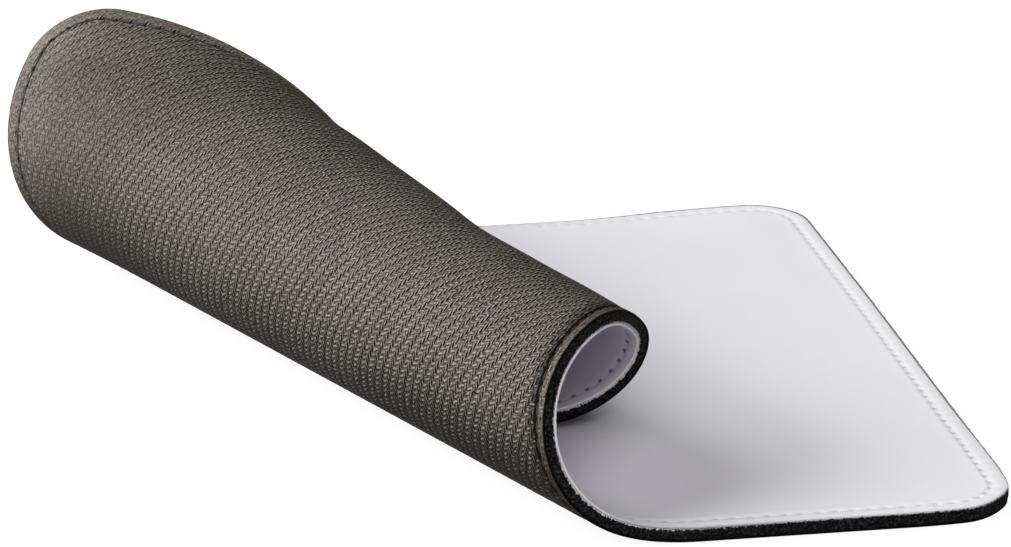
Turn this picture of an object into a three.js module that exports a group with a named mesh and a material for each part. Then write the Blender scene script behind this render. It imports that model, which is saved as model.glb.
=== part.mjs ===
// Mouse pad: a stitched laminate of top sheet, foam core and back cloth, lying flat at its right end
// and rolled up on the slant at its left end. Millimetres, +Z up.
// Flat coordinates: a runs from the right edge to the left edge, b from the near edge to the far edge
// and h from the underside to the top. The whole pad is drawn flat and every vertex is then rolled.
import * as THREE from 'three';

// Flat pad
const PAD_LENGTH = 240;
const PAD_WIDTH = 200;
const CORNER_RADIUS = 14;
const SHEET_THICKNESS = 0.6;
const FOAM_THICKNESS = 2.4;
const CLOTH_THICKNESS = 0.5;
const GLUE_LINE = 0.05;

// Border seam: a groove on the top and on the back, with a thread lying in each
const SEAM_INSET = 3.75;
const GROOVE_WIDTH = 1.2;
const GROOVE_DEPTH = 0.35;
const STITCH_PITCH = 3.7;
const STITCH_RISE = 0.05;
const THREAD_DIAMETER = 0.2;
const THREAD_CLEARANCE = 0.06;

// Roll: the pad bends along parallel lines that slant across its width
const FLAT_EDGE = 71; // part of the near edge that stays flat
const FOLD_ANGLE = 23.7; // degrees between the bend lines and the pad's width
const LAP_GAP = 1.2; // clear space under the pad where a whole turn comes back over itself
const TIGHTEST_RADIUS = 4;
// Degrees turned so far, and the bend radius of the middle surface there
const BENDS = [
  [0, 87],
  [30, 19],
  [75, 18],
  [120, 22],
  [165, 35],
  [210, 23.5],
  [255, 17],
  [345, 26],
  [360, 20],
];
const CLOSING_BEND = 300; // degrees turned where the radius is solved, so that a whole turn closes on its lap

// Neck: the near mouth of the roll is squeezed inwards
const NECK_DEPTH = 7.8;
const NECK_TURN = 214; // degrees turned where the squeeze is deepest
const NECK_SPREAD = 65; // degrees
const NECK_REACH = 78; // from the near edge

// Flare: the far left corner opens outwards
const FLARE_DEPTH = 10.3;
const FLARE_LENGTH = 75; // from the left edge
const FLARE_WIDTH = 160; // from the far edge

// Fineness of the facets
const FACET_SAG = 0.025; // largest gap between a facet and the true bend
const CORNER_STEP = 15; // degrees between columns on the right corners
const FAN_ANGLES = [60, 48, 36, 24, 12]; // degrees of the last columns, in the near left corner
const FLAT_COLUMNS = 5;
const ROWS = 5;
const THREAD_SIDES = 3;
const CURVE_STEP = 0.5; // degrees between stations of the integrated roll curve
const CURVE_TURNS = 3;
const SOLVER_STEPS = 48;

const THICKNESS = CLOTH_THICKNESS + FOAM_THICKNESS + SHEET_THICKNESS + 2 * GLUE_LINE;
const LAP = THICKNESS + LAP_GAP;
const FIELD_INSET = SEAM_INSET + GROOVE_WIDTH / 2;
const TURN = 360;
const { degToRad, lerp, clamp, smoothstep } = THREE.MathUtils;
const FOLD = degToRad(FOLD_ANGLE);

// Value at x of the straight lines through the points (xs, ys), xs rising.
function interpolate(x, xs, ys) {
  let low = 0;
  let high = xs.length - 1;
  while (high - low > 1) {
    const middle = (low + high) >> 1;
    if (xs[middle] <= x) low = middle;
    else high = middle;
  }
  return lerp(ys[low], ys[high], (x - xs[low]) / (xs[high] - xs[low]));
}

// Point where a rising function changes sign between low and high.
function bisect(isHigh, low, high) {
  let from = low;
  let to = high;
  for (let step = 0; step < SOLVER_STEPS; step += 1) {
    const middle = (from + to) / 2;
    if (isHigh(middle)) to = middle;
    else from = middle;
  }
  return (from + to) / 2;
}

// Bend radius by degrees turned. Each further turn lies inside the last, tighter by one lap.
function bendRadii(closingRadius) {
  const stations = [...BENDS, [CLOSING_BEND, closingRadius]];
  stations.sort((one, other) => one[0] - other[0]);
  const angles = stations.map((station) => station[0]);
  const curvatures = stations.map((station) => 1 / station[1]);
  return (degrees) => {
    const turns = Math.floor(degrees / TURN);
    const radius = 1 / interpolate(degrees - turns * TURN, angles, curvatures);
    return Math.max(radius - turns * LAP, TIGHTEST_RADIUS);
  };
}

// Roll curve: length of pad rolled, distance along the floor and height, by degrees turned.
function rollCurve(closingRadius, lastDegrees) {
  const radiusAt = bendRadii(closingRadius);
  const curve = { turned: [0], rolled: [0], along: [0], height: [0] };
  const steps = Math.round(lastDegrees / CURVE_STEP);
  for (let k = 0; k < steps; k += 1) {
    const middle = (k + 0.5) * CURVE_STEP;
    const length = radiusAt(middle) * degToRad(CURVE_STEP);
    curve.turned.push((k + 1) * CURVE_STEP);
    curve.rolled.push(curve.rolled[k] + length);
    curve.along.push(curve.along[k] + length * Math.cos(degToRad(middle)));
    curve.height.push(curve.height[k] + length * Math.sin(degToRad(middle)));
  }
  return curve;
}

const closingRadius = bisect((radius) => {
  const { height } = rollCurve(radius, TURN);
  return height[height.length - 1] < LAP;
}, TIGHTEST_RADIUS, PAD_WIDTH);
const radiusAt = bendRadii(closingRadius);
const curve = rollCurve(closingRadius, CURVE_TURNS * TURN);

// Inward push of the sheet, along its own normal: the neck less the flare.
function push(a, b, degrees) {
  const offTurn = (degrees - NECK_TURN) / NECK_SPREAD;
  const offEdge = b / NECK_REACH;
  const neck = NECK_DEPTH * Math.exp(-offTurn * offTurn - offEdge * offEdge);
  const open = Math.max(0, 1 - (PAD_LENGTH - a) / FLARE_LENGTH);
  const flare = FLARE_DEPTH * open * open * smoothstep(b, PAD_WIDTH - FLARE_WIDTH, PAD_WIDTH);
  return neck - flare;
}

// Place of a flat point on the rolled pad.
function place(a, b, h) {
  const across = (a - FLAT_EDGE) * Math.cos(FOLD) - b * Math.sin(FOLD);
  if (across <= 0) return new THREE.Vector3(-a, b, h);
  const down = (a - FLAT_EDGE) * Math.sin(FOLD) + b * Math.cos(FOLD);
  const degrees = interpolate(across, curve.rolled, curve.turned);
  const angle = degToRad(degrees);
  const lift = h - THICKNESS / 2 + push(a, b, degrees);
  const along = interpolate(across, curve.rolled, curve.along) - lift * Math.sin(angle);
  const height = interpolate(across, curve.rolled, curve.height) + lift * Math.cos(angle);
  return new THREE.Vector3(
    -FLAT_EDGE - down * Math.sin(FOLD) - along * Math.cos(FOLD),
    down * Math.cos(FOLD) - along * Math.sin(FOLD),
    THICKNESS / 2 + height,
  );
}

// Vector to a flat point from the nearest point of the rectangle through the corner centres.
function fromCore(point) {
  const core = new THREE.Vector2(
    clamp(point.x, CORNER_RADIUS, PAD_LENGTH - CORNER_RADIUS),
    clamp(point.y, CORNER_RADIUS, PAD_WIDTH - CORNER_RADIUS),
  );
  return point.clone().sub(core);
}

// Ends of the bend line at a distance across the roll, on the outline of the field inside the seam.
function bendLine(across) {
  const pointAt = (b) => new THREE.Vector2(
    FLAT_EDGE + across / Math.cos(FOLD) + b * Math.tan(FOLD),
    b,
  );
  const depth = (b) => CORNER_RADIUS - FIELD_INSET - fromCore(pointAt(b)).length();
  const deepest = bisect((b) => depth(b + FACET_SAG) < depth(b), -PAD_LENGTH, PAD_WIDTH - CORNER_RADIUS);
  const near = bisect((b) => depth(b) > 0, -PAD_LENGTH, deepest);
  const far = bisect((b) => depth(b) < 0, deepest, PAD_LENGTH + PAD_WIDTH);
  return [pointAt(near), pointAt(far)];
}

// Columns of the field, each a straight line from the near side to the far side: round the right
// corners, across the flat part to the first bend line, and on along the bend lines.
function fieldColumns() {
  const arc = CORNER_RADIUS - FIELD_INSET;
  const columns = [];
  for (let degrees = 0; degrees <= 90; degrees += CORNER_STEP) {
    const a = CORNER_RADIUS - arc * Math.cos(degToRad(degrees));
    const rise = arc * Math.sin(degToRad(degrees));
    columns.push([
      new THREE.Vector2(a, CORNER_RADIUS - rise),
      new THREE.Vector2(a, PAD_WIDTH - CORNER_RADIUS + rise),
    ]);
  }
  const straight = columns[columns.length - 1];
  const firstBend = bendLine(0);
  for (let k = 1; k <= FLAT_COLUMNS; k += 1) {
    const share = k / FLAT_COLUMNS;
    columns.push(straight.map((end, side) => end.clone().lerp(firstBend[side], share)));
  }
  const lastAcross = (PAD_LENGTH - CORNER_RADIUS - FLAT_EDGE) * Math.cos(FOLD)
    - CORNER_RADIUS * Math.sin(FOLD) + arc;
  const fan = FAN_ANGLES.map((degrees) => lastAcross - arc * (1 - Math.cos(degToRad(degrees))));
  const stepAt = (degrees) => THREE.MathUtils.radToDeg(Math.sqrt(8 * FACET_SAG / radiusAt(degrees)));
  let degrees = stepAt(0);
  const lastPlain = interpolate(fan[0], curve.rolled, curve.turned);
  while (degrees < lastPlain - stepAt(degrees) / 2) {
    columns.push(bendLine(interpolate(degrees, curve.turned, curve.rolled)));
    degrees += stepAt(degrees);
  }
  fan.forEach((across) => columns.push(bendLine(across)));
  return columns;
}

// Flat points of the field, by column and row. The last column is bowed out on to the corner's arc.
const columns = fieldColumns();
const lastColumn = columns.length - 1;
const field = columns.map(([near, far], column) => {
  const points = [];
  for (let row = 0; row <= ROWS; row += 1) {
    const point = near.clone().lerp(far, row / ROWS);
    if (column === lastColumn) {
      const reach = fromCore(point);
      const arc = reach.clone().setLength(CORNER_RADIUS - FIELD_INSET);
      point.sub(reach).add(arc);
    }
    points.push(point);
  }
  return points;
});

// The field's outline, once round: near side, left end, far side, right end.
function fieldOutline() {
  const cells = [];
  for (let column = 0; column <= lastColumn; column += 1) cells.push([column, 0]);
  for (let row = 1; row < ROWS; row += 1) cells.push([lastColumn, row]);
  for (let column = lastColumn; column >= 0; column -= 1) cells.push([column, ROWS]);
  for (let row = ROWS - 1; row > 0; row -= 1) cells.push([0, row]);
  return cells;
}
const outline = fieldOutline();

// The field's outline carried out to another inset from the pad's edge.
function ringAt(inset) {
  return outline.map(([column, row]) => {
    const point = field[column][row];
    return point.clone().add(fromCore(point).setLength(FIELD_INSET - inset));
  });
}

const PLAIN_RINGS = [{ inset: 0, depth: 0 }];
const GROOVED_RINGS = [
  { inset: SEAM_INSET, depth: GROOVE_DEPTH },
  { inset: SEAM_INSET - GROOVE_WIDTH / 2, depth: 0 },
  { inset: 0, depth: 0 },
];

function meshOf(name, vertices, triangles, colour, roughness) {
  const geometry = new THREE.BufferGeometry();
  geometry.setFromPoints(vertices);
  geometry.setIndex(triangles);
  geometry.computeVertexNormals();
  const material = new THREE.MeshStandardMaterial({ color: colour, roughness });
  const mesh = new THREE.Mesh(geometry, material);
  mesh.name = name;
  return mesh;
}

// One closed layer of the laminate, between two heights, with the rings of its top and back faces.
function layer(name, low, high, backRings, topRings, colour, roughness) {
  const vertices = [];
  const triangles = [];
  const addVertex = (point, h) => vertices.push(place(point.x, point.y, h)) - 1;
  const addQuad = ([one, two, three, four], flip) => {
    if (flip) triangles.push(one, three, two, one, four, three);
    else triangles.push(one, two, three, one, three, four);
  };
  const addLoops = (inner, outer, flip) => {
    inner.forEach((start, k) => {
      const next = (k + 1) % inner.length;
      addQuad([start, inner[next], outer[next], outer[k]], flip);
    });
  };
  const addFace = (h, inward, rings) => {
    const flip = inward > 0;
    const grid = field.map((points) => points.map((point) => addVertex(point, h)));
    for (let column = 0; column < lastColumn; column += 1) {
      for (let row = 0; row < ROWS; row += 1) {
        addQuad([
          grid[column][row],
          grid[column][row + 1],
          grid[column + 1][row + 1],
          grid[column + 1][row],
        ], flip);
      }
    }
    let inner = outline.map(([column, row]) => grid[column][row]);
    rings.forEach(({ inset, depth }) => {
      const outer = ringAt(inset).map((point) => addVertex(point, h + inward * depth));
      addLoops(inner, outer, flip);
      inner = outer;
    });
    return inner;
  };
  const topEdge = addFace(high, -1, topRings);
  const backEdge = addFace(low, 1, backRings);
  addLoops(topEdge, backEdge, false);
  return meshOf(name, vertices, triangles, colour, roughness);
}

// One closed loop of seam thread: low at each needle hole and raised half way between.
function thread(name, holeHeight, rise, colour) {
  const path = ringAt(SEAM_INSET);
  const lengths = [0];
  path.forEach((point, k) => {
    lengths.push(lengths[k] + point.distanceTo(path[(k + 1) % path.length]));
  });
  const closed = [...path, path[0]];
  const run = lengths[path.length];
  const stitches = Math.round(run / STITCH_PITCH);
  const along = (distance, key) => interpolate(distance, lengths, closed.map((point) => point[key]));
  const vertices = [];
  const triangles = [];
  const rings = 2 * stitches;
  const radius = THREAD_DIAMETER / 2;
  for (let ring = 0; ring < rings; ring += 1) {
    const distance = run * ring / rings;
    const centre = new THREE.Vector2(along(distance, 'x'), along(distance, 'y'));
    const outward = fromCore(centre).normalize();
    const height = holeHeight + rise * (ring % 2);
    for (let side = 0; side < THREAD_SIDES; side += 1) {
      const turn = 2 * Math.PI * side / THREAD_SIDES + Math.sign(rise) * Math.PI / 2;
      const point = centre.clone().addScaledVector(outward, radius * Math.cos(turn));
      vertices.push(place(point.x, point.y, height + radius * Math.sin(turn)));
      const here = ring * THREAD_SIDES;
      const next = ((ring + 1) % rings) * THREAD_SIDES;
      const beside = (side + 1) % THREAD_SIDES;
      triangles.push(here + side, here + beside, next + beside);
      triangles.push(here + side, next + beside, next + side);
    }
  }
  return meshOf(name, vertices, triangles, colour, 0.7);
}

const foamLow = CLOTH_THICKNESS + GLUE_LINE;
const foamHigh = foamLow + FOAM_THICKNESS;
const sheetLow = foamHigh + GLUE_LINE;
const grooveSlope = Math.atan(GROOVE_DEPTH / (GROOVE_WIDTH / 2));
const threadBed = (THREAD_DIAMETER / 2 + THREAD_CLEARANCE) / Math.cos(grooveSlope) - GROOVE_DEPTH;

const pad = new THREE.Group();
pad.name = 'mouse_pad';
pad.add(
  layer('top_sheet', sheetLow, THICKNESS, PLAIN_RINGS, GROOVED_RINGS, 0xdcdce0, 0.55),
  layer('foam_core', foamLow, foamHigh, PLAIN_RINGS, PLAIN_RINGS, 0x141414, 0.9),
  layer('back_cloth', 0, CLOTH_THICKNESS, GROOVED_RINGS, PLAIN_RINGS, 0x5c5850, 0.95),
  thread('needle_thread', THICKNESS + threadBed, STITCH_RISE, 0xd2d2d4),
  thread('bobbin_thread', -threadBed, -STITCH_RISE, 0x3a3733),
);

// Origin under the middle of the bounding box.
const box = new THREE.Box3().setFromObject(pad);
const middle = box.getCenter(new THREE.Vector3());
pad.children.forEach((mesh) => mesh.geometry.translate(-middle.x, -middle.y, -box.min.z));

export default pad;
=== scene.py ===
"""A stitched mouse pad, flat at its right end and rolled up on the slant at its left end.

Each layer is drawn flat, in millimetres, and then rolled. Flat coordinates: a from the right edge to the
left, b from the near edge to the far, h from the underside to the top."""
import math

import bpy
import numpy as np
from mathutils import Matrix, Vector


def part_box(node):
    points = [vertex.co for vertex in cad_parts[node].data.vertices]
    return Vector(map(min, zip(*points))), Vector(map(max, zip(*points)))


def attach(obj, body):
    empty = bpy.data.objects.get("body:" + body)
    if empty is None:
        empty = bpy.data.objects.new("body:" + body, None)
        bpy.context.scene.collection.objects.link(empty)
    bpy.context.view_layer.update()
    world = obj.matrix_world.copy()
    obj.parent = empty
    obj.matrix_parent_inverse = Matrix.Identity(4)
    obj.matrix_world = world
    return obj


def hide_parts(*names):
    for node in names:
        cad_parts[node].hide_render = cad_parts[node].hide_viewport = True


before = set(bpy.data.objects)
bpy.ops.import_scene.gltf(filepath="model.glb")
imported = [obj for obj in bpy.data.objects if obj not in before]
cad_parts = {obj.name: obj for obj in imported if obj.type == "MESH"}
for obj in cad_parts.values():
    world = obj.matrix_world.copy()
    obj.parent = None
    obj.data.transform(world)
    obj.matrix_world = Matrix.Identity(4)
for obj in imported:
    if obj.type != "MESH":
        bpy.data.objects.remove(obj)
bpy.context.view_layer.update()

MM_PER_M = 1000

# Flat pad, millimetres
PAD_LENGTH = 240.0
PAD_WIDTH = 200.0
CORNER_RADIUS = 14.0
SHEET_THICKNESS = 0.6
FOAM_THICKNESS = 2.4
CLOTH_THICKNESS = 0.5
GLUE_LINE = 0.05
THICKNESS = CLOTH_THICKNESS + FOAM_THICKNESS + SHEET_THICKNESS + 2 * GLUE_LINE
FOAM_LOW = CLOTH_THICKNESS + GLUE_LINE
FOAM_HIGH = FOAM_LOW + FOAM_THICKNESS
SHEET_LOW = FOAM_HIGH + GLUE_LINE

# Border seam: millimetres, stitches, and samples of the border loop to a stitch and to a smoothed drift
SEAM_INSET = 3.75
SEAM_REACH = 3.2
STITCHES = 225
STITCH_LENGTH = 3.7
STITCH_SAMPLES = 6
DRIFT_SPAN = 21

# Roll: millimetres and degrees turned. The radius None is solved, so that a whole turn closes on its lap
FLAT_EDGE = 71.0
FOLD = math.radians(23.7)
LAP_GAP = 1.2
LAP = THICKNESS + LAP_GAP
TIGHTEST_RADIUS = 4.0
BEND_TURNS = [0, 30, 75, 120, 165, 210, 255, 300, 345, 360]
BEND_RADII = [87, 19, 18, 22, 35, 23.5, 17, None, 26, 20]
NECK = {"depth": 7.8, "turn": 214.0, "spread": 65.0, "reach": 78.0}
FLARE = {"depth": 10.3, "length": 75.0, "width": 160.0}
CURL = {"height": 1.0, "near": 40.0, "far": 140.0, "right": 12.0, "left": 52.0}

# Unevenness of the roll's crest: the turn it lies at, its spread, and (place, width, depth) of each dent
CREST_TURN = 220.0
CREST_SPREAD = 32.0
CREST_DENTS = [(120.0, 8.0, 0.6), (55.0, 13.0, 0.82), (17.0, 12.0, -0.47)]

# Roll curve: degrees in a step and in a turn, turns worked out, and halvings of the solver
CURVE_STEP = 0.5
TURN = 360.0
CURVE_TURNS = 3
SOLVER_STEPS = 48

# Mesh fineness: samples of the border loop on each stretch, loop edges to a field edge, the field's inset
LOOP_LONG = 342
LOOP_SHORT = 279
LOOP_ARC = 27
FIELD_SHARE = 3
FIELD_INSET = 8.0

# Border rings: offsets from the seam, insets from the edge, and insets on a bonded face
SEAM_RINGS = [3.2, 2.5, 1.95, 1.5, 1.2, 0.95, 0.75, 0.55, 0.38, 0.24, 0.12, 0,
              -0.12, -0.24, -0.38, -0.55, -0.75, -1.0, -1.3, -1.65, -2.0, -2.35, -2.7]
EDGE_RINGS = [0.75, 0.5, 0.32, 0.18, 0.08, 0.02]
BONDED_RINGS = [7.0, 3.0]

# Relief of the two faces, millimetres. hole is the change at the needle holes, for the swell as a share
TOP_EDGE = {"depth": 0.1, "width": 0.35}
TOP_GROOVE = {"depth": 0.13, "hole": 0.1, "width": 0.75}
TOP_WELT = {"height": 0.1, "hole": 0.05, "rise": (0.2, 1.3), "fall": (1.9, 3.5)}
TOP_SWELL = {"height": 0.04, "hole": 0.6, "inset": 5.2, "width": 1.0}
BACK_EDGE = {"depth": 0.12, "width": 0.5}
BACK_GROOVE = {"depth": 0.36, "hole": 0.08, "width": 0.55}
BACK_HOLLOW = {"depth": 0.1, "inset": 5.0, "width": 0.9}

# Cut sides: seeds, spreads of the noise, and shapes in millimetres
SHEET_SEED = 11
SHEET_ROUGH = 0.045
SHEET_ROUGH_LOW = 0.03
SHEET_ROUGH_REACH = 0.4
SHEET_SIDE = (THICKNESS - 0.3, SHEET_LOW + 0.04)
SHEET_TUCK = 0.15
CLOTH_TUCK = 0.12
CLOTH_CHAMFER = 0.08
FOAM_SEED = 7
FOAM_ROUGH = 0.07
FOAM_ROWS = 11
FOAM_BULGE = 0.13
FOAM_ROUNDING = 0.12
FOAM_CLEAR = 0.02
FOAM_TUCK = 0.3

# Stitches: rings and sides of a spindle, its start and length in pitches, its radius at the ends and its
# swell as shares of the thread's, sizes in millimetres, and the plies with their winding to a millimetre
SPINDLE_RINGS = 9
SPINDLE_SIDES = 6
SPINDLE_START = 0.06
SPINDLE_SHARE = 0.88
SPINDLE_END = 0.45
SPINDLE_SWELL = 0.55
THREAD_RADIUS = 0.12
THREAD_SUNK = 0.22
THREAD_RISE = 0.3
NEEDLE_SPARE = 0.16
BOBBIN_SPARE = 0.2
PLY_WINDING = 9.0
PLIES = 2.0

# Twill: millimetres between threads and of their sway, the sway's offset and the range of unevenness, then
# in pitches (from, to) from the middle of a thread or a float, and the slit's slant and place
TWILL_PITCH = 0.95
SWAY_REACH = 1.1
SWAY_OFFSET = 7.0
UNEVEN_RANGE = (0.3, 0.6)
WARP_CROWN = (0.05, 0.3)
WARP_CROWN_ENDS = (0.5, 0.95)
WARP_ENDS = (0.75, 1.0)
WARP_SIDES = (0.36, 0.5)
WEFT_CROWN = (0.05, 0.28)
SLIT_SLANT = 0.2
SLIT_PLACE = 0.32
SLIT_SIDES = (0.15, 0.29)
SLIT_ENDS = (0.62, 0.98)

# Shades of the cloth, mostly painted light and shade, (from, to) in millimetres across the bend lines
CROWN_HIGHLIGHT_FADES = (35.0, 62.0)
SIDE_PALER = (18.0, 52.0)
CREST_DARKER = (54.0, 85.0)
CREST_SHARPER = (56.0, 80.0)
LOW_SHADE_ENDS = (26.0, 44.0)

# Shades of the cloth, among them painted light and shade, (from, to) in millimetres from the near edge,
# but END_RIM from the right edge
NEAR_SHADE_ENDS = (20.0, 110.0)
WEAVE_FLATTER = (40.0, 130.0)
FAR_END = (120.0, 190.0)
DITCH_THINNER = (25.0, 130.0)
FAR_RIM = (180.0, 195.0)
END_RIM = (218.0, 232.0)
END_RIM_STARTS = (90.0, 140.0)
END_RIM_PALER = (135.0, 180.0)

# Border of the cloth, (from, to) in millimetres from the edge, but DITCH_SIDES from the seam
CLOTH_WELT = (SEAM_INSET - 1.1, SEAM_INSET - 0.5)
SEAM_SHADE = (SEAM_INSET + 0.3, SEAM_INSET + 3.2)
CLOTH_CUT = (0.1, 0.4)
DITCH_SIDES = (0.15, 0.6)

# Shades of the sheet, among them painted shade in the roll and painted light beside it, (from, to) in
# millimetres from the right edge
IN_ROLL = (85.0, 110.0)
BESIDE_ROLL = (25.0, 78.0)
BLACK_SINKS = (20.0, 110.0)

# Shades of the sheet, among them painted light beside the roll and painted shade at the needle holes,
# (from, to) in millimetres from the near edge
BESIDE_ROLL_STARTS = (30.0, 90.0)
HOLES_DARKER = (5.0, 9.0)
HOLES_FAINTER = (50.0, 150.0)
RIM_STARTS = (8.0, 22.0)
RIM_WIDER = (30.0, 60.0)

# Border of the sheet, (from, to) in millimetres from the edge, but PINHOLE from the seam
PINHOLE = (0.22, 0.75)
SHEET_WELT = (2.2, 4.2)
SHEET_CUT = (0.05, 0.12)
STAIN_REACH = (0.1, 0.25)
RIM_SIDES = (0.2, 0.5)
EDGE_SHADE = (0.2, 1.0)

# Painted shade of the sheet's needle holes, (from, to) along a stitch, where 1 is the hole and -1 is midway
HOLE_ON_FLAT = (0.05, 1.0)
HOLE_IN_ROLL = (0.25, 0.9)

# Cut side, millimetres: the black's height in the sheet, its fall and its fray, and two soft edges
CUT_ABOVE = 0.22
CUT_FALL = 0.62
FRAY_REACH = 1.5
STAIN_EDGE = (0.0, 0.07)
FLEECE_EDGE = (0.0, 0.08)

# Noises: scale to a millimetre, detail, and roughness where it isn't a half
SWAY = (0.22, 3.0, 0.6)
UNEVEN = (0.75, 3.0, 0.7)
FIBRE = (1.4, 3.0, 0.8)
PATCH = (0.035, 3.0)
MOTTLE = (0.95, 3.0, 0.8)
FUZZ = (1.5, 4.0, 0.8)
LUMP = (0.4, 2.0)
FRAY = (1.7, 2.0, 0.6)
CLOUD = (0.03, 2.0)
SHEET_GRAIN = (3.5, 3.0, 0.6)
FOAM_GRAIN = (1.9, 4.0, 0.75)
FOAM_CELLS = 1.7
THREAD_FUZZ = (9.0, 2.0)

# Bump distances, metres
TWILL_RELIEF = 0.00024
SHEET_RELIEF = 0.00003
FOAM_RELIEF = 0.0005
THREAD_RELIEF = 0.00004

# Colours in linear light, and ramps of (place, colour)
TWILL_STOPS = [(0.0, (0.0014, 0.0012, 0.001)), (0.2, (0.0135, 0.012, 0.0098)),
               (0.5, (0.063, 0.056, 0.048)), (0.95, (0.27, 0.247, 0.218))]
CLOTH_WELT_TINT = (0.93, 0.9, 0.72)
SHEET_STOPS = [(0.3, (0.77, 0.765, 0.795)), (0.7, (0.79, 0.786, 0.814))]
# On the sheet's face: painted light beside the roll and painted shade inside it
SHEET_PAINTED_LIGHT_BESIDE_ROLL = (0.885, 0.881, 0.907)
SHEET_PAINTED_SHADE_IN_ROLL = (0.68, 0.645, 0.73)
SHEET_ON_WELT = (0.75, 0.748, 0.752)
# Painted shade at the needle holes
SHEET_HOLE_SHADE = (0.12, 0.105, 0.15)
# Painted shade on the cut side on the flat part
CUT_SHADED_ON_FLAT = (0.58, 0.575, 0.58)
CUT_IN_ROLL = (0.86, 0.84, 0.82)
RIM_GREY = (0.1, 0.1, 0.1)
STAIN_BLACK = (0.01, 0.01, 0.011)
FOAM_STOPS = [(0.38, (0.0006, 0.0006, 0.0006)), (0.56, (0.0045, 0.0045, 0.005)),
              (0.72, (0.06, 0.058, 0.06))]
FLEECE_WHITE = (0.8, 0.785, 0.78)
NEEDLE_COLOURS = ((0.72, 0.715, 0.73), (0.83, 0.825, 0.84))
BOBBIN_COLOURS = ((0.015, 0.014, 0.012), (0.085, 0.08, 0.07))

# Photograph's camera, fitted to the pad's outline: pixels, degrees and millimetres
IMAGE_WIDTH = 1011
IMAGE_HEIGHT = 547
FOCAL_PIXELS = 5038.8
CAMERA_YAW = math.radians(11.600)
CAMERA_PITCH = math.radians(19.608)
CAMERA_ROLL = math.radians(0.761)
CORNER_PIXEL = (1028.15, 520.33)
CORNER_DEPTH = 1076.87
SENSOR_WIDTH = 36.0

# Nearest and farthest that the camera sees, metres
CLIP_START = 0.05
CLIP_END = 20.0

# Lamps: metres from the pad's middle, then each one's name, bearing and height in degrees, size in
# metres, watts and colour
LAMP_DISTANCE = 2.0
LAMPS = [
    ("left_low", 180, 25, 1.1, 40.0, (1, 1, 1)),
    ("left_back", 144, 38, 1.45, 26.0, (1, 1, 1)),
    ("front", 252, 29, 1.45, 17.0, (0.98, 0.945, 1.02)),
    ("front_high", 300, 64, 1.45, 14.5, (1, 1, 1)),
]

# Floor and world: metres, colours and strengths
FLOOR_REACH = 4.0
FLOOR_DROP = 0.0002
FLOOR_BOUNCE = (0.12, 0.12, 0.12, 1)
FLOOR_LIT = (0.15, 0.15, 0.15, 1)
FLOOR_GLOW = 0.9
WORLD_COLOUR = (1, 1, 1, 1)
WORLD_STRENGTH = 0.02
SEEN_WORLD_STRENGTH = 1.0

# The pad's flat zero, its near right corner at floor level, in the row frame
ZERO = Vector((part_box("top_sheet")[1][0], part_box("top_sheet")[0][1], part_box("back_cloth")[0][2]))


def smoothstep(x, low, high):
    """Zero below low, one above high, and the cubic 3t^2 - 2t^3 between them."""
    t = np.clip((x - low) / (high - low), 0, 1)
    return t * t * (3 - 2 * t)


def bell(x, middle, width):
    """Bell curve: one at the middle, and e to the minus square of the distance in widths."""
    return np.exp(-((x - middle) / width) ** 2)


def bend_curve(open_radius, last_turn):
    """Degrees turned, length rolled, distance along and height of the pad's middle surface.

    The curvature runs straight between the stations, each later turn is one lap tighter, and the
    length is radius times angle, summed with its cosine and sine."""
    radii = [open_radius if r is None else r for r in BEND_RADII]
    middle = (np.arange(round(last_turn / CURVE_STEP)) + 0.5) * CURVE_STEP
    turns = np.floor(middle / TURN)
    radius = 1 / np.interp(middle - turns * TURN, BEND_TURNS, 1 / np.array(radii))
    length = np.maximum(radius - turns * LAP, TIGHTEST_RADIUS) * math.radians(CURVE_STEP)
    turned = np.arange(len(middle) + 1) * CURVE_STEP
    sums = [length, length * np.cos(np.radians(middle)), length * np.sin(np.radians(middle))]
    return [turned] + [np.concatenate([[0], np.cumsum(part)]) for part in sums]


def closing_radius():
    """Radius at the open station for which one whole turn ends exactly one lap above its start."""
    low, high = TIGHTEST_RADIUS, PAD_WIDTH
    for _ in range(SOLVER_STEPS):
        middle = (low + high) / 2
        if bend_curve(middle, TURN)[3][-1] < LAP:
            high = middle
        else:
            low = middle
    return (low + high) / 2


TURNED, ROLLED, ALONG, HEIGHT = bend_curve(closing_radius(), CURVE_TURNS * TURN)


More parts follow.
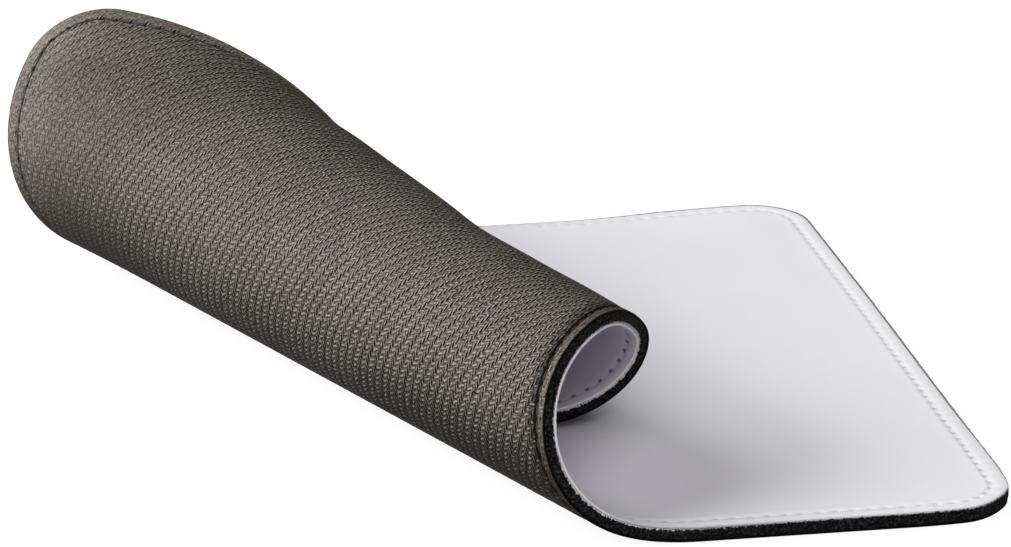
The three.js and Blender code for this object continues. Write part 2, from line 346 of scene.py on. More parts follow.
def rolled(flat):
    """Row frame places, in metres, of flat points (a, b, h) in millimetres.

    Past the first bend line a point goes round the roll curve by its distance across the bend lines and
    keeps its distance down them. Its height, less half the thickness, is laid off along the normal,
    together with the neck's squeeze inwards, the crest's small dents, each a bell curve, and the far
    corner's flare outwards. The far right corner curls up a little."""
    a, b, h = flat[..., 0], flat[..., 1], flat[..., 2]
    across = (a - FLAT_EDGE) * math.cos(FOLD) - b * math.sin(FOLD)
    down = (a - FLAT_EDGE) * math.sin(FOLD) + b * math.cos(FOLD)
    bent = np.maximum(across, 0)
    degrees = np.interp(bent, ROLLED, TURNED)
    off_neck = (degrees - NECK["turn"]) / NECK["spread"]
    neck = NECK["depth"] * np.exp(-off_neck ** 2 - (b / NECK["reach"]) ** 2)
    opened = np.maximum(0, 1 - (PAD_LENGTH - a) / FLARE["length"])
    flare = FLARE["depth"] * opened ** 2 * smoothstep(b, PAD_WIDTH - FLARE["width"], PAD_WIDTH)
    dents = sum(depth * bell(b, place, width) for place, width, depth in CREST_DENTS)
    neck = neck + dents * bell(degrees, CREST_TURN, CREST_SPREAD)
    lift = h - THICKNESS / 2 + np.where(across > 0, neck - flare, 0)
    angle = np.radians(degrees)
    along = np.where(across > 0, np.interp(bent, ROLLED, ALONG), across) - lift * np.sin(angle)
    height = np.interp(bent, ROLLED, HEIGHT) + lift * np.cos(angle)
    x = -FLAT_EDGE - down * math.sin(FOLD) - along * math.cos(FOLD)
    y = down * math.cos(FOLD) - along * math.sin(FOLD)
    curl = smoothstep(b, CURL["near"], CURL["far"]) * (1 - smoothstep(a, CURL["right"], CURL["left"]))
    z = THICKNESS / 2 + height + CURL["height"] * curl
    return np.stack([x, y, z], -1) / MM_PER_M + np.array(ZERO)


def border_loop():
    """Once round the rectangle through the corner centres, with the outward direction at each sample.

    The order is near right corner, near side, near left corner, left side, far left corner, far side, far
    right corner, right side. A corner's samples share its centre and turn through a right angle."""
    near, far = CORNER_RADIUS, PAD_WIDTH - CORNER_RADIUS
    right, left = CORNER_RADIUS, PAD_LENGTH - CORNER_RADIUS
    near_right, near_left = (right, near), (left, near)
    far_left, far_right = (left, far), (right, far)
    stretches = [
        (near_right, near_right, 180, 270, LOOP_ARC), (near_right, near_left, 270, 270, LOOP_LONG),
        (near_left, near_left, 270, 360, LOOP_ARC), (near_left, far_left, 0, 0, LOOP_SHORT),
        (far_left, far_left, 0, 90, LOOP_ARC), (far_left, far_right, 90, 90, LOOP_LONG),
        (far_right, far_right, 90, 180, LOOP_ARC), (far_right, near_right, 180, 180, LOOP_SHORT),
    ]
    cores, headings = [], []
    for start, end, from_heading, to_heading, count in stretches:
        share = np.arange(count) / count
        cores.append(np.outer(1 - share, start) + np.outer(share, end))
        headings.append(np.radians(from_heading + (to_heading - from_heading) * share))
    heading = np.concatenate(headings)
    return np.concatenate(cores), np.stack([np.cos(heading), np.sin(heading)], -1)


CORE, OUTWARD = border_loop()
SAMPLES = len(CORE)
STITCH_PHASE = 2 * np.pi * np.arange(SAMPLES) / STITCH_SAMPLES
AT_HOLE = np.cos(STITCH_PHASE)
NEAR_SIDE = LOOP_ARC
LEFT_SIDE = NEAR_SIDE + LOOP_LONG + LOOP_ARC
FAR_SIDE = LEFT_SIDE + LOOP_SHORT + LOOP_ARC
RIGHT_SIDE = FAR_SIDE + LOOP_LONG + LOOP_ARC


def drift(stations):
    """Offset per sample, in millimetres outwards.

    It runs straight between (sample, offset) stations and is then smoothed by a raised cosine."""
    places, offsets = zip(*stations)
    straight = np.interp(np.arange(SAMPLES), places, offsets, period=SAMPLES)
    window = np.hanning(DRIFT_SPAN)
    return np.convolve(np.tile(straight, 3), window / window.sum(), "same")[SAMPLES:2 * SAMPLES]


EDGE_DRIFT = drift([
    (0, -0.5), (LOOP_ARC / 2, -1.9), (NEAR_SIDE, -0.5), (NEAR_SIDE + 12, 0),
    (FAR_SIDE + 160, 0), (FAR_SIDE + 235, -2.4), (FAR_SIDE + 272, -2.1), (FAR_SIDE + 305, 0),
    (RIGHT_SIDE + 266, 0),
])
TOP_SEAM_DRIFT = drift([
    (0, -0.9), (LOOP_ARC / 2, -1.6), (NEAR_SIDE, -0.4), (NEAR_SIDE + 30, 0.2), (NEAR_SIDE + 150, 0.5),
    (LEFT_SIDE - LOOP_ARC, 0.6), (LEFT_SIDE, 0),
    (FAR_SIDE + 160, 0), (FAR_SIDE + 235, -1.5), (FAR_SIDE + 272, -1.3), (FAR_SIDE + 305, 0),
    (RIGHT_SIDE, -0.3), (SAMPLES - 30, -0.4),
])
BACK_SEAM_DRIFT = drift([
    (0, 0.8), (NEAR_SIDE + 30, 1.3),
    (LEFT_SIDE - LOOP_ARC - 40, 1.3), (LEFT_SIDE, 0.5), (LEFT_SIDE + 40, 0),
    (RIGHT_SIDE, 0),
])


def flat_ring(inset, height, seam_drift):
    """Flat points once round the border, at an inset and a height, each one value or one per sample.

    The edge's drift fades out from the edge to the seam, and the seam's drift on both sides of it."""
    inset = np.broadcast_to(inset, SAMPLES)
    height = np.broadcast_to(height, SAMPLES)
    at_edge = np.clip(1 - inset / SEAM_INSET, 0, 1)
    at_seam = np.clip(1 - abs(inset - SEAM_INSET) / SEAM_REACH, 0, 1)
    reach = CORNER_RADIUS - inset + EDGE_DRIFT * at_edge + seam_drift * at_seam
    return np.column_stack([CORE + OUTWARD * reach[:, None], height])


def field_grid(height):
    """Flat points of the field inside the border: columns from right to left, rows from near to far."""
    loop = flat_ring(FIELD_INSET, height, np.zeros(SAMPLES))[::FIELD_SHARE]
    columns = (LOOP_LONG + 2 * LOOP_ARC) // FIELD_SHARE
    rows = LOOP_SHORT // FIELD_SHARE
    near = loop[:columns + 1]
    far = loop[columns + rows + np.arange(columns, -1, -1)]
    share = np.linspace(0, 1, rows + 1)[None, :, None]
    return near[:, None] * (1 - share) + far[:, None] * share


def field_faces(start, columns, rows, upward):
    """Quads of a field grid whose vertices are numbered from start, and its outline in the loop's order."""
    number = start + np.arange((columns + 1) * (rows + 1)).reshape(columns + 1, rows + 1)
    corners = [number[:-1, :-1], number[:-1, 1:], number[1:, 1:], number[1:, :-1]]
    quads = np.stack(corners, -1).reshape(-1, 4)
    outline = np.concatenate([number[:-1, 0], number[-1, :-1], number[:0:-1, -1], number[0, :0:-1]])
    return (quads if upward else quads[:, ::-1]), outline


def joining_faces(outline, ring, outward):
    """Three faces for each field edge, which join it to the three ring edges beside it."""
    c0, c1 = outline, np.roll(outline, -1)
    r0, r1, r2 = [ring[k::FIELD_SHARE] for k in range(FIELD_SHARE)]
    r3 = np.roll(r0, -1)
    quads = np.stack([c0, c1, r2, r1], -1)
    triangles = np.concatenate([np.stack([c0, r1, r0], -1), np.stack([c1, r3, r2], -1)])
    return (quads, triangles) if outward else (quads[:, ::-1], triangles[:, ::-1])


def band_faces(rings):
    """Quads between neighbouring rings, which run from the top field, over the edge, to the lower field."""
    after = np.roll(rings, -1, axis=1)
    return np.stack([rings[:-1], after[:-1], after[1:], rings[1:]], -1).reshape(-1, 4)


def mesh_piece(name, points, faces, attributes, material):
    """A new object at the origin from points, faces and named vectors at its points."""
    mesh = bpy.data.meshes.new(name)
    mesh.from_pydata(points.tolist(), [], faces)
    for key, values in attributes.items():
        layer = mesh.attributes.new(key, "FLOAT_VECTOR", "POINT")
        layer.data.foreach_set("vector", np.ascontiguousarray(values, dtype=np.float32).ravel())
    mesh.polygons.foreach_set("use_smooth", np.ones(len(mesh.polygons), dtype=bool))
    mesh.materials.append(material)
    mesh.update()
    piece = bpy.data.objects.new(name, mesh)
    bpy.context.scene.collection.objects.link(piece)
    return piece


def layer_piece(name, field_top, field_low, profile, seam_drift, material):
    """One closed layer: a field above, a field below, and border rings along the profile between them.

    The profile is a list of (inset, height) pairs, each one value or one per sample of the border loop."""
    top, low = field_grid(field_top), field_grid(field_low)
    columns, rows = top.shape[0] - 1, top.shape[1] - 1
    count = (columns + 1) * (rows + 1)
    rings = np.stack([flat_ring(inset, height, seam_drift) for inset, height in profile])
    flat = np.concatenate([top.reshape(-1, 3), low.reshape(-1, 3), rings.reshape(-1, 3)])
    numbers = 2 * count + np.arange(len(rings) * SAMPLES).reshape(len(rings), SAMPLES)
    top_quads, top_outline = field_faces(0, columns, rows, True)
    low_quads, low_outline = field_faces(count, columns, rows, False)
    upper_join = joining_faces(top_outline, numbers[0], True)
    lower_join = joining_faces(low_outline, numbers[-1], False)
    faces = []
    for part in (top_quads, low_quads, *upper_join, *lower_join, band_faces(numbers)):
        faces += part.tolist()
    ring_insets = [np.broadcast_to(inset, SAMPLES) for inset, _ in profile]
    insets = np.concatenate([np.full(2 * count, FIELD_INSET), *ring_insets])
    hole = np.concatenate([np.zeros(2 * count), np.tile(AT_HOLE, len(rings))])
    border = np.stack([insets, hole, np.zeros_like(hole)], -1)
    return mesh_piece(name, rolled(flat), faces, {"flat": flat, "border": border}, material)


class Value:
    """A node socket that takes part in Python arithmetic, each operation adding one Math node."""

    def __init__(self, nodes, socket):
        self.nodes = nodes
        self.socket = socket

    def math(self, operation, *others):
        return self.nodes.node("ShaderNodeMath", {"operation": operation}, [self, *others])

    def __add__(self, other):
        return self.math("ADD", other)

    def __sub__(self, other):
        return self.math("SUBTRACT", other)

    def __rsub__(self, other):
        return self.nodes.node("ShaderNodeMath", {"operation": "SUBTRACT"}, [other, self])

    def __mul__(self, other):
        return self.math("MULTIPLY", other)

    def __truediv__(self, other):
        return self.math("DIVIDE", other)

    def __pow__(self, other):
        return self.math("POWER", other)

    def __lt__(self, other):
        return self.math("LESS_THAN", other)

    def __abs__(self):
        return self.math("ABSOLUTE")

    def floor(self):
        return self.math("FLOOR")

    def modulo(self, other):
        return self.math("FLOORED_MODULO", other)

    def larger(self, other):
        return self.math("MAXIMUM", other)

    def sine(self):
        return self.math("SINE")

    def step(self, low, high):
        """Smooth step from 0 at low to 1 at high."""
        settings = {"interpolation_type": "SMOOTHSTEP"}
        sockets = {"Value": self, "From Min": low, "From Max": high}
        return self.nodes.node("ShaderNodeMapRange", settings, sockets)

    __radd__ = __add__
    __rmul__ = __mul__


class Nodes:
    """A node tree whose nodes are added by one method."""

    def __init__(self, tree):
        self.tree = tree

    def node(self, kind, settings=None, sockets=None, output=0):
        """Adds a node, sets its settings, then its sockets' values or links, and returns one output.

        The setting "stops" is a ramp's list of (place, colour)."""
        node = self.tree.nodes.new(kind)
        for key, value in (settings or {}).items():
            if key == "stops":
                ramp = node.color_ramp
                while len(ramp.elements) < len(value):
                    ramp.elements.new(1.0)
                for element, (place, colour) in zip(ramp.elements, value):
                    element.position = place
                    element.color = (*colour, 1.0)
            else:
                setattr(node, key, value)
        pairs = enumerate(sockets) if isinstance(sockets, (list, tuple)) else (sockets or {}).items()
        for key, value in pairs:
            if isinstance(value, Value):
                self.tree.links.new(value.socket, node.inputs[key])
            else:
                node.inputs[key].default_value = value
        return Value(self, node.outputs[output])

    def attribute(self, name):
        return self.node("ShaderNodeAttribute", {"attribute_name": name}, output="Vector")

    def parts(self, vector):
        first = self.node("ShaderNodeSeparateXYZ", None, [vector])
        outputs = first.socket.node.outputs
        return [Value(self, outputs[k]) for k in range(3)]

    def joined(self, x, y, z):
        return self.node("ShaderNodeCombineXYZ", None, [x, y, z])

    def noise(self, vector, scale, detail, roughness=0.5):
        sockets = {"Vector": vector, "Scale": scale, "Detail": detail, "Roughness": roughness}
        return self.node("ShaderNodeTexNoise", None, sockets, output="Fac")

    def ramp(self, value, stops):
        return self.node("ShaderNodeValToRGB", {"stops": stops}, [value], output="Color")

    def blend(self, share, first, second, kind="MIX"):
        """Mixes two colours; a Mix node's colour sockets are its inputs 6 and 7 and its output 2."""
        first, second = [c if isinstance(c, Value) else (*c, 1.0) for c in (first, second)]
        settings = {"data_type": "RGBA", "blend_type": kind}
        return self.node("ShaderNodeMix", settings, {0: share, 6: first, 7: second}, output=2)

    def bump(self, height, distance, strength):
        sockets = {"Height": height, "Distance": distance, "Strength": strength}
        return self.node("ShaderNodeBump", None, sockets)

    def show(self, shader, output):
        """Links a shader to the tree's own output node of this name."""
        self.tree.links.new(shader.socket, self.tree.nodes[output].inputs["Surface"])


class Shader(Nodes):
    """The node tree of a new material, with one surface shader whose constants are set directly."""

    def __init__(self, name, **constants):
        self.material = bpy.data.materials.new(name)
        self.material.use_nodes = True
        super().__init__(self.material.node_tree)
        self.surface = self.tree.nodes["Principled BSDF"]
        for socket, value in constants.items():
            self.surface.inputs[socket.replace("_", " ")].default_value = value

    def finish(self, **sockets):
        """Links what varies over the surface to the surface shader and returns the material."""
        for socket, value in sockets.items():
            self.tree.links.new(value.socket, self.surface.inputs[socket.replace("_", " ")])
        return self.material


def twill(a, b, uneven, crown_highlight):
    """Tone and height, each from 0 to 1, of a two over, two under twill, with the share of warp on top.

    Cell (i, j) shows the warp, which runs along b, where (i + j) modulo 4 is below 2, and otherwise the
    weft. Each weft float has a dark slit of uneven depth, a painted shadow that slants across it from
    side to side, and a faint painted highlight on its crown. Each warp float has a painted highlight on
    its crown, of the given strength, and painted shade at its sides and ends. The height is a
    parabola across each thread, and a warp float dives by the cube towards its ends."""
    x, y = a / TWILL_PITCH, b / TWILL_PITCH
    i, j = x.floor(), y.floor()
    place = (i + j).modulo(4.0)
    warp = place < 1.5
    beside = y - j
    off_warp = abs(x - i - 0.5)
    off_weft = abs(beside - 0.5)
    along = abs(place + beside - 1.0)
    along_weft = place + x - i - 3.0
    # Crowns are painted highlights, the slit a painted shadow, a float's darker sides and ends painted shade
    warp_crown = (1.0 - off_warp.step(*WARP_CROWN)) * (1.0 - along.step(*WARP_CROWN_ENDS)) * uneven
    off_slit = abs(beside + along_weft * SLIT_SLANT - SLIT_PLACE)
    slit = (1.0 - off_slit.step(*SLIT_SIDES)) * (1.0 - abs(along_weft).step(*SLIT_ENDS))
    slit = slit * (1.04 - 0.55 * uneven)
    weft_crown = (1.0 - off_weft.step(*WEFT_CROWN)) * uneven
    warp_tone = 0.53 + crown_highlight * warp_crown - 0.15 * along.step(*WARP_ENDS)
    warp_tone = warp_tone - 0.12 * off_warp.step(*WARP_SIDES)
    weft_tone = 0.64 + 0.05 * weft_crown - 1.05 * slit
    tone = weft_tone + warp * (warp_tone - weft_tone)
    warp_round = (1.0 - off_warp * off_warp * 4.0) * (1.0 - along ** 3.0)
    weft_round = (1.0 - off_weft * off_weft * 4.0) * 0.85
    height = weft_round + warp * (warp_round - weft_round)
    return tone, height, warp


def cloth_material():
    """Grey-brown twill of uneven threads and fine fibres, with painted light and shade by place on the pad.

    The cloth has painted light at half the height of the roll, and painted shade over its crest and low
    down near its near end, and it is a little paler towards the far end. Its weave, with painted highlights
    and shadows, is sharper over the crest and flatter at the far end. The border outside the seam is
    pressed flat and fuzzy, with painted light at the left end. The seam is a dark ditch that widens at the
    needle holes, a dark stitch line with painted shade in its groove, and the cloth beside it near the near
    end has painted shade. The cut edge is black. The ditch is thinner and fainter towards the far end, but
    dark along the far rims, where the cloth beside it has painted light."""
    s = Shader("twill_back", Roughness=0.8, Specular_IOR_Level=0.06)
    a, b, h = s.parts(s.attribute("flat"))
    inset, hole, _ = s.parts(s.attribute("border"))
    wander = s.joined(a, b, h)
    sway = s.noise(wander, *SWAY) - 0.5
    drifting = s.noise(s.joined(b, a, SWAY_OFFSET), *SWAY) - 0.5
    uneven = s.noise(wander, *UNEVEN).step(*UNEVEN_RANGE)
    across = (a - FLAT_EDGE) * math.cos(FOLD) - b * math.sin(FOLD)
    # Painted highlight on the warp crowns, strong on the flat part and low on the roll, faint higher up
    crown_highlight = 0.2 + 0.6 * (1.0 - across.step(*CROWN_HIGHLIGHT_FADES))
    tone, height, warp = twill(a + sway * SWAY_REACH, b + drifting * SWAY_REACH, uneven, crown_highlight)
    fibre = s.noise(s.joined(a * (1.0 + warp), b * (2.0 - warp), h), *FIBRE)
    patch = s.noise(wander, *PATCH)
    far = b.step(*FAR_END)
    # Painted light: paler at half the height of the roll; painted shade over its crest
    painted_light_shade = 0.55 * across.step(*SIDE_PALER) - (0.23 + 0.07 * far) * across.step(*CREST_DARKER)
    # Painted shade low down on the roll towards its near end
    painted_low_shade = 1.0 - 0.36 * (1.0 - b.step(*NEAR_SHADE_ENDS)) * (1.0 - across.step(*LOW_SHADE_ENDS))
    high = across.step(*CREST_SHARPER)
    contrast = 1.4 - 0.38 * b.step(*WEAVE_FLATTER) - 0.8 * far + (0.4 + 0.1 * far) * high
    mottle = s.noise(wander, *MOTTLE)
    grain = 1.0 + (4.6 - 1.8 * far) * (fibre - 0.5)
    weave = (0.6 + 0.8 * mottle) * (0.5 + (tone - 0.5) * contrast) * grain
    end_rim = a.step(*END_RIM) * b.step(*END_RIM_STARTS)
    far_rim = b.step(*FAR_RIM)
    outer = end_rim + far_rim - end_rim * far_rim
    fuzz = s.noise(wander, *FUZZ)
    lump = s.noise(wander, *LUMP)
    welt = 1.0 - inset.step(*CLOTH_WELT)
    # The welt is fuzzy, with painted light at the left end
    shade = weave + welt * (0.25 * weave + 1.9 * fuzz - 0.5 + 0.18 * end_rim - weave)
    thin = b.step(*DITCH_THINNER)
    # The ditch is a dark stitch line with painted shade in the seam groove, widest at the needle holes
    ditch = abs(inset - SEAM_INSET) - 0.15 * hole - 0.35 * fuzz - 0.7 * (lump - 0.5)
    ditch = ditch + 0.22 * thin + 0.13 * outer
    least = 0.1 + 0.2 * thin - 0.18 * outer
    dark = (least + (1.0 - least) * ditch.step(*DITCH_SIDES)) * inset.step(*CLOTH_CUT)
    # Painted shade on the cloth beside the seam towards the near end
    near_shade = 0.42 * (1.0 - thin) * (1.0 - inset.step(*SEAM_SHADE)) * (1.0 - welt)
    dark = dark * (1.0 - near_shade)
    # Painted light beside the seam along the far rims
    painted_rim_light = (0.13 * far_rim + 0.18 * end_rim * b.step(*END_RIM_PALER)) * (1.0 - welt)
    # Random paler patches, with the painted light and shade
    pale = 0.38 + 0.2 * patch + painted_light_shade + painted_rim_light
    woven = s.ramp(shade * dark * painted_low_shade * pale * (1.0 + 0.13 * b / PAD_WIDTH), TWILL_STOPS)
    colour = s.blend(welt * (0.12 + 0.25 * end_rim), woven, CLOTH_WELT_TINT, "MULTIPLY")
    bumps = height * (1.0 - 0.7 * welt) + 0.3 * fibre + welt * fuzz * 0.6
    return s.finish(Base_Color=colour, Normal=s.bump(bumps, TWILL_RELIEF, 1.0))


def cut_level(shader, flat, a):
    """Height at which the black of the cut side gives way to the white of the sheet and its fleece.

    It is uneven by noise. It lies in the sheet where the pad is flat, and in the foam where it is rolled."""
    rolled_share = a.step(*BLACK_SINKS)
    fray = shader.noise(flat, *FRAY) - 0.5
    return SHEET_LOW + CUT_ABOVE - CUT_FALL * rolled_share + FRAY_REACH * fray


def sheet_material():
    """White coated sheet: an even matte face with a very fine grain, needle holes, and a rough cut edge.

    By place on the pad, the face has painted light beside the roll, and painted shade, darker and more
    purple, inside it. The needle holes are painted shade: faint on the flat part, faintest at its far side,
    and darkest in the roll. On the flat part the cut side, and the face within a millimetre of the edge,
    have painted shade. On the right and far sides a thin grey line runs along the rim."""
    s = Shader("coated_top", Roughness=0.5, Specular_IOR_Level=0.3)
    flat = s.attribute("flat")
    a, b, h = s.parts(flat)
    inset, hole, _ = s.parts(s.attribute("border"))
    cloud = s.noise(flat, *CLOUD)
    grain = s.noise(flat, *SHEET_GRAIN)
    face = s.ramp(cloud, SHEET_STOPS)
    off_seam = abs(inset - SEAM_INSET)
    inside = a.step(*IN_ROLL)
    # Painted shade at the needle holes, darkest in the roll
    dash = hole.step(*HOLE_ON_FLAT)
    painted_hole_shade = (1.0 - off_seam.step(*PINHOLE)) * (dash + inside * (hole.step(*HOLE_IN_ROLL) - dash))
    side = 1.0 - inset.step(*SHEET_CUT)
    strength = 0.28 + 0.1 * b.step(*HOLES_DARKER) - 0.2 * b.step(*HOLES_FAINTER) + 0.65 * inside
    welt = 1.0 - inset.step(*SHEET_WELT)
    stain = (1.0 - (h - cut_level(s, flat, a)).step(*STAIN_EDGE)) * (1.0 - inset.step(*STAIN_REACH))
    # A thin grey line along the rim on the right and far sides
    rim_inset = inset - 0.25 * b.step(*RIM_WIDER) - 0.3 * b.step(*FAR_RIM)
    rim = (1.0 - rim_inset.step(*RIM_SIDES)) * b.step(*RIM_STARTS)
    # Painted light beside the roll, and painted shade, darker and more purple, inside it
    painted_light_beside_roll = a.step(*BESIDE_ROLL) * b.step(*BESIDE_ROLL_STARTS)
    face = s.blend(painted_light_beside_roll * 0.9, face, SHEET_PAINTED_LIGHT_BESIDE_ROLL)
    face = s.blend(inside * 0.7, face, SHEET_PAINTED_SHADE_IN_ROLL)
    tone = s.blend(welt * (0.6 - 0.6 * inside), face, SHEET_ON_WELT)
    tone = s.blend(painted_hole_shade * strength, tone, SHEET_HOLE_SHADE)
    # On the flat part, painted shade on the cut side and on the face within a millimetre of the edge
    cut = s.blend(inside, CUT_SHADED_ON_FLAT, CUT_IN_ROLL)
    tone = s.blend((1.0 - inset.step(*EDGE_SHADE)) * (1.0 - inside) * 0.45, tone, cut)
    tone = s.blend(side * 0.9, tone, cut)
    tone = s.blend(rim * 0.85, tone, RIM_GREY)
    colour = s.blend(stain, tone, STAIN_BLACK)
    rough = 0.46 + 0.1 * grain
    return s.finish(Base_Color=colour, Roughness=rough, Normal=s.bump(grain, SHEET_RELIEF, 0.5))


def foam_material():
    """Black foam: a cut face of fine cells and paler grains, with the sheet's white fleece at its top."""
    s = Shader("black_foam", Roughness=0.9, Specular_IOR_Level=0.12)
    flat = s.attribute("flat")
    a, _, h = s.parts(flat)
    cell = s.node("ShaderNodeTexVoronoi", None, {"Vector": flat, "Scale": FOAM_CELLS}, output="Distance")
    grain = s.noise(flat, *FOAM_GRAIN)
    black = s.ramp(grain * 0.8 + cell * 0.3, FOAM_STOPS)
    fleece = (h - cut_level(s, flat, a)).step(*FLEECE_EDGE)
    colour = s.blend(fleece, black, FLEECE_WHITE)
    return s.finish(Base_Color=colour, Normal=s.bump(grain + cell * 0.5, FOAM_RELIEF, 1.0))


def thread_material(name, dark, pale):
    """Twisted thread: two plies wind round each other and show as slanting light and dark bands."""
    s = Shader(name, Roughness=0.75, Specular_IOR_Level=0.25)
    along, around, _ = s.parts(s.attribute("twist"))
    ply = (along * PLY_WINDING + around * PLIES).sine() * 0.5 + 0.5
    fuzz = s.noise(s.attribute("flat"), *THREAD_FUZZ)
    colour = s.ramp(ply * 0.7 + fuzz * 0.3, [(0.1, dark), (0.8, pale)])
    return s.finish(Base_Color=colour, Normal=s.bump(ply, THREAD_RELIEF, 0.8))


def rounded_edge(inset, depth, width):
    """Drop of a face at its rounded edge: a quarter ellipse, of this depth and width."""
    return depth * (1 - np.sqrt(1 - (1 - np.minimum(inset / width, 1)) ** 2))


def top_height(inset):
    """Height of the top face at an inset, per sample: a rounded edge, a welt, the seam groove and a swell.

    The groove is a bell curve that is deepest at the needle holes. The puffed welt outside it and the low
    swell inside it are highest between the holes."""
    edge = rounded_edge(inset, TOP_EDGE["depth"], TOP_EDGE["width"])
    groove = TOP_GROOVE["depth"] + TOP_GROOVE["hole"] * AT_HOLE
    groove = groove * bell(inset, SEAM_INSET, TOP_GROOVE["width"])
    puff = smoothstep(inset, *TOP_WELT["rise"]) * (1 - smoothstep(inset, *TOP_WELT["fall"]))
    welt = puff * (TOP_WELT["height"] - TOP_WELT["hole"] * AT_HOLE)
    swell = TOP_SWELL["height"] * bell(inset, TOP_SWELL["inset"], TOP_SWELL["width"])
    swell = swell * (1 - TOP_SWELL["hole"] * AT_HOLE)
    return THICKNESS - edge - groove + welt + swell


def back_height(inset):
    """Height of the back face at an inset, per sample: a rounded edge, a flat welt, a groove and a hollow.

    The seam groove is a bell curve that is deepest at the needle holes, and the hollow inside it a lower
    one. The deeper of the two counts."""
    edge = rounded_edge(inset, BACK_EDGE["depth"], BACK_EDGE["width"])
    groove = BACK_GROOVE["depth"] + BACK_GROOVE["hole"] * AT_HOLE
    groove = groove * bell(inset, SEAM_INSET, BACK_GROOVE["width"])
    hollow = BACK_HOLLOW["depth"] * bell(inset, BACK_HOLLOW["inset"], BACK_HOLLOW["width"])
    return edge + np.maximum(groove, hollow)


def border_insets():
    """Insets of the detailed rings: close together at the seam and at the edge."""
    return np.concatenate([SEAM_INSET + np.array(SEAM_RINGS), EDGE_RINGS])


def needle_sheet(material):
    """The white top sheet, its detailed face upwards and its cut side uneven by seeded noise."""
    rng = np.random.default_rng(SHEET_SEED)
    uneven = rng.normal(0, SHEET_ROUGH, SAMPLES)
    profile = [(d + uneven * (d < SHEET_ROUGH_REACH), top_height(d)) for d in border_insets()]
    for height in SHEET_SIDE:
        profile.append((uneven + rng.normal(0, SHEET_ROUGH_LOW, SAMPLES), height))
    profile += [(inset, SHEET_LOW) for inset in (SHEET_TUCK, *BONDED_RINGS[::-1])]
    return layer_piece("top_sheet_skin", THICKNESS, SHEET_LOW, profile, TOP_SEAM_DRIFT, material)


def twill_cloth(material):
    """The back cloth, its detailed face downwards and the upper edge of its cut side bevelled."""
    profile = [(inset, CLOTH_THICKNESS) for inset in (*BONDED_RINGS, CLOTH_TUCK)]
    profile.append((0.0, CLOTH_THICKNESS - CLOTH_CHAMFER))
    profile += [(d, back_height(d)) for d in border_insets()[::-1]]
    return layer_piece("back_cloth_twill", CLOTH_THICKNESS, 0.0, profile, BACK_SEAM_DRIFT, material)


def foam_slab(material):
    """The foam core: its cut side bulges a little between the bonded faces and is uneven by seeded noise.

    The bulge is a parabola over the height, and a sixth power rounds the side off at both faces."""
    rng = np.random.default_rng(FOAM_SEED)
    side = []
    for share in np.linspace(0, 1, FOAM_ROWS):
        rough = rng.normal(0, FOAM_ROUGH, SAMPLES)
        bulge = -FOAM_BULGE * (1 - (2 * share - 1) ** 2) + FOAM_ROUNDING * abs(2 * share - 1) ** 6
        side.append((bulge + rough, FOAM_HIGH - FOAM_CLEAR - (FOAM_THICKNESS - 2 * FOAM_CLEAR) * share))
    profile = [(inset, FOAM_HIGH) for inset in (*BONDED_RINGS, FOAM_TUCK)] + side
    profile += [(inset, FOAM_LOW) for inset in (FOAM_TUCK, *BONDED_RINGS[::-1])]
    return layer_piece("foam_core_slab", FOAM_HIGH, FOAM_LOW, profile, np.zeros(SAMPLES), material)


def seam_thread(name, surface, side, seam_drift, spare, material):
    """All the stitches of one seam thread: each is a thin spindle from one needle hole to the next.

    Along a stitch the centre rises as a sine from inside the holes to just proud of the groove, and the
    radius swells by the square root of that sine. side is 1 on the top and -1 on the back, and spare is
    how much deeper the whole thread lies, in millimetres."""
    t = np.linspace(0, 1, SPINDLE_RINGS)
    hump = np.sin(np.pi * t)
    place = (np.arange(STITCHES)[:, None] + SPINDLE_START + SPINDLE_SHARE * t) * STITCH_SAMPLES
    index = np.arange(SAMPLES + 1)

    def on_loop(values):
        closed = np.vstack([values, values[:1]])
        return np.stack([np.interp(place, index, closed[:, k]) for k in range(2)], -1)

    outwards = on_loop(OUTWARD)
    outwards /= np.linalg.norm(outwards, axis=-1, keepdims=True)
    drifted = np.interp(place, index, np.append(seam_drift, seam_drift[0]))
    centre = on_loop(CORE) + outwards * (CORNER_RADIUS - SEAM_INSET + drifted)[..., None]
    height = surface + side * (-spare - THREAD_SUNK + THREAD_RISE * hump)
    thick = THREAD_RADIUS * (SPINDLE_END + SPINDLE_SWELL * np.sqrt(hump))
    around = 2 * np.pi * np.arange(SPINDLE_SIDES) / SPINDLE_SIDES
    sideways = thick[:, None] * np.cos(around)
    upwards = thick[:, None] * np.sin(around)
    shape = (STITCHES, SPINDLE_RINGS, SPINDLE_SIDES)
    flat = np.concatenate([
        centre[:, :, None] + outwards[:, :, None] * sideways[None, :, :, None],
        np.broadcast_to((height[:, None] + upwards)[None, :, :, None], (*shape, 1)),
    ], -1)
    number = np.arange(math.prod(shape)).reshape(shape)
    after = np.roll(number, -1, axis=2)
    walls = np.stack([number[:, :-1], after[:, :-1], after[:, 1:], number[:, 1:]], -1).reshape(-1, 4)
    first, last = number[:, 0, ::-1], number[:, -1]
    faces = walls.tolist() + first.tolist() + last.tolist()
    twist = np.zeros(flat.shape)
    twist[..., 0] = STITCH_LENGTH * t[None, :, None]
    twist[..., 1] = around[None, None, :]
    attributes = {"flat": flat.reshape(-1, 3), "twist": twist.reshape(-1, 3)}
    return mesh_piece(name, rolled(flat.reshape(-1, 3)), faces, attributes, material)


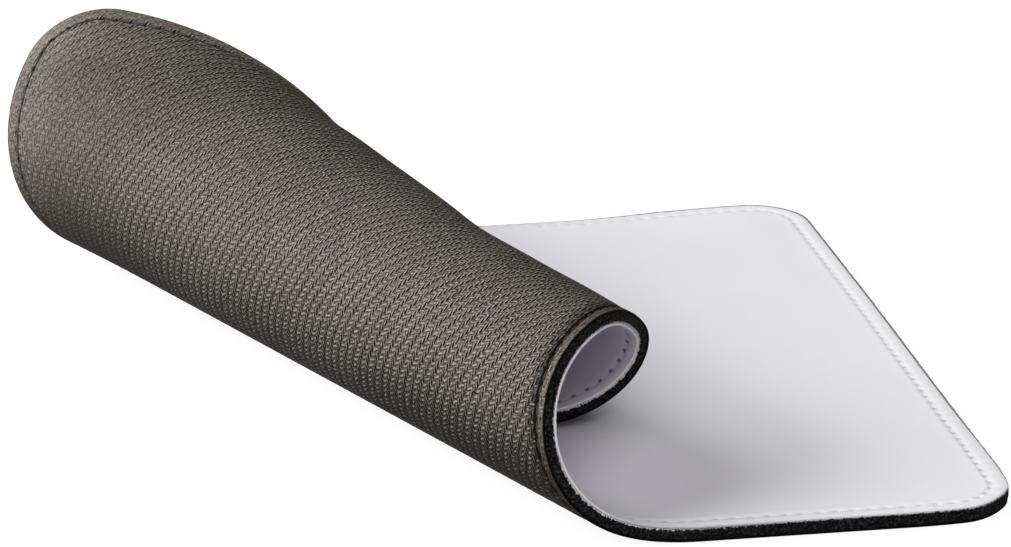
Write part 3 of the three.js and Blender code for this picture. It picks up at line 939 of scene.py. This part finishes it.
def photo_camera():
    """The photograph's camera: axes from yaw, pitch and roll, place from the corner's pixel and depth."""
    right = Vector((math.cos(CAMERA_YAW), -math.sin(CAMERA_YAW), 0))
    level = Vector((math.sin(CAMERA_YAW), math.cos(CAMERA_YAW), 0))
    forward = level * math.cos(CAMERA_PITCH) - Vector((0, 0, 1)) * math.sin(CAMERA_PITCH)
    upward = level * math.sin(CAMERA_PITCH) + Vector((0, 0, 1)) * math.cos(CAMERA_PITCH)
    side = right * math.cos(CAMERA_ROLL) + upward * math.sin(CAMERA_ROLL)
    top = upward * math.cos(CAMERA_ROLL) - right * math.sin(CAMERA_ROLL)
    scale = CORNER_DEPTH / FOCAL_PIXELS
    off_right = (CORNER_PIXEL[0] - IMAGE_WIDTH / 2) * scale
    off_up = -(CORNER_PIXEL[1] - IMAGE_HEIGHT / 2) * scale
    place = ZERO - (side * off_right + top * off_up + forward * CORNER_DEPTH) / MM_PER_M
    data = bpy.data.cameras.new("photo_camera")
    data.sensor_fit = "HORIZONTAL"
    data.sensor_width = SENSOR_WIDTH
    data.lens = FOCAL_PIXELS / IMAGE_WIDTH * SENSOR_WIDTH
    data.clip_start = CLIP_START
    data.clip_end = CLIP_END
    camera = bpy.data.objects.new("photo_camera", data)
    camera.matrix_world = Matrix((
        (side.x, top.x, -forward.x, place.x), (side.y, top.y, -forward.y, place.y),
        (side.z, top.z, -forward.z, place.z), (0, 0, 0, 1)))
    bpy.context.scene.collection.objects.link(camera)
    bpy.context.scene.camera = camera


def pale_floor():
    """A pale floor that the camera sees white but for the pad's soft shadow, and that bounces little light.

    Camera, glossy and transmitted rays meet an even glow with a diffuse grey, and other rays a dark grey."""
    s = Shader("pale_floor", Base_Color=FLOOR_BOUNCE, Roughness=1.0, Specular_IOR_Level=0.0)
    camera_ray = s.node("ShaderNodeLightPath", output="Is Camera Ray")
    path = camera_ray.socket.node.outputs
    direct = camera_ray.larger(Value(s, path["Is Glossy Ray"])).larger(Value(s, path["Is Transmission Ray"]))
    glow = s.node("ShaderNodeEmission", None, {"Strength": FLOOR_GLOW})
    lit = s.node("ShaderNodeBsdfDiffuse", None, {"Color": FLOOR_LIT})
    white = s.node("ShaderNodeAddShader", None, [glow, lit])
    dim = Value(s, s.surface.outputs[0])
    s.show(s.node("ShaderNodeMixShader", None, [direct, dim, white]), "Material Output")
    corners = FLOOR_REACH * np.array([[-1, -1, 0], [1, -1, 0], [1, 1, 0], [-1, 1, 0]])
    floor = mesh_piece("floor", corners - np.array([0, 0, FLOOR_DROP]), [[0, 1, 2, 3]], {}, s.material)


def even_world():
    """An even white world, dim as a light and bright where the camera sees it."""
    world = bpy.data.worlds.new("studio")
    world.use_nodes = True
    w = Nodes(world.node_tree)
    dim = w.tree.nodes["Background"]
    dim.inputs["Color"].default_value = WORLD_COLOUR
    dim.inputs["Strength"].default_value = WORLD_STRENGTH
    bright = w.node("ShaderNodeBackground", None, {"Strength": SEEN_WORLD_STRENGTH})
    camera_ray = w.node("ShaderNodeLightPath", output="Is Camera Ray")
    either = w.node("ShaderNodeMixShader", None, [camera_ray, Value(w, dim.outputs[0]), bright])
    w.show(either, "World Output")
    bpy.context.scene.world = world


def soft_light(name, azimuth, elevation, size, watts, colour):
    """A square area lamp that faces the pad's middle, at a bearing from the right side and a height.

    Both are in degrees."""
    around, above = math.radians(azimuth), math.radians(elevation)
    level = math.cos(above)
    towards = Vector((level * math.cos(around), level * math.sin(around), math.sin(above)))
    data = bpy.data.lights.new(name, "AREA")
    data.size = size
    data.energy = watts
    data.color = colour
    lamp = bpy.data.objects.new(name, data)
    lamp.location = towards * LAMP_DISTANCE
    lamp.rotation_euler = (-towards).to_track_quat("-Z", "Y").to_euler()
    bpy.context.scene.collection.objects.link(lamp)


photo_camera()
pale_floor()
even_world()
for lamp_settings in LAMPS:
    soft_light(*lamp_settings)
bpy.context.scene.view_settings.view_transform = "Standard"

sheet = needle_sheet(sheet_material())
foam = foam_slab(foam_material())
cloth = twill_cloth(cloth_material())
needle_twist = thread_material("needle_thread_twist", *NEEDLE_COLOURS)
needle = seam_thread("needle_stitches", THICKNESS, 1, TOP_SEAM_DRIFT, NEEDLE_SPARE, needle_twist)
bobbin_twist = thread_material("bobbin_thread_twist", *BOBBIN_COLOURS)
bobbin = seam_thread("bobbin_stitches", 0.0, -1, BACK_SEAM_DRIFT, BOBBIN_SPARE, bobbin_twist)

for piece, node in ((sheet, "top_sheet"), (foam, "foam_core"), (cloth, "back_cloth"),
                    (needle, "needle_thread"), (bobbin, "bobbin_thread")):
    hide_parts(node)
    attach(piece, "root")
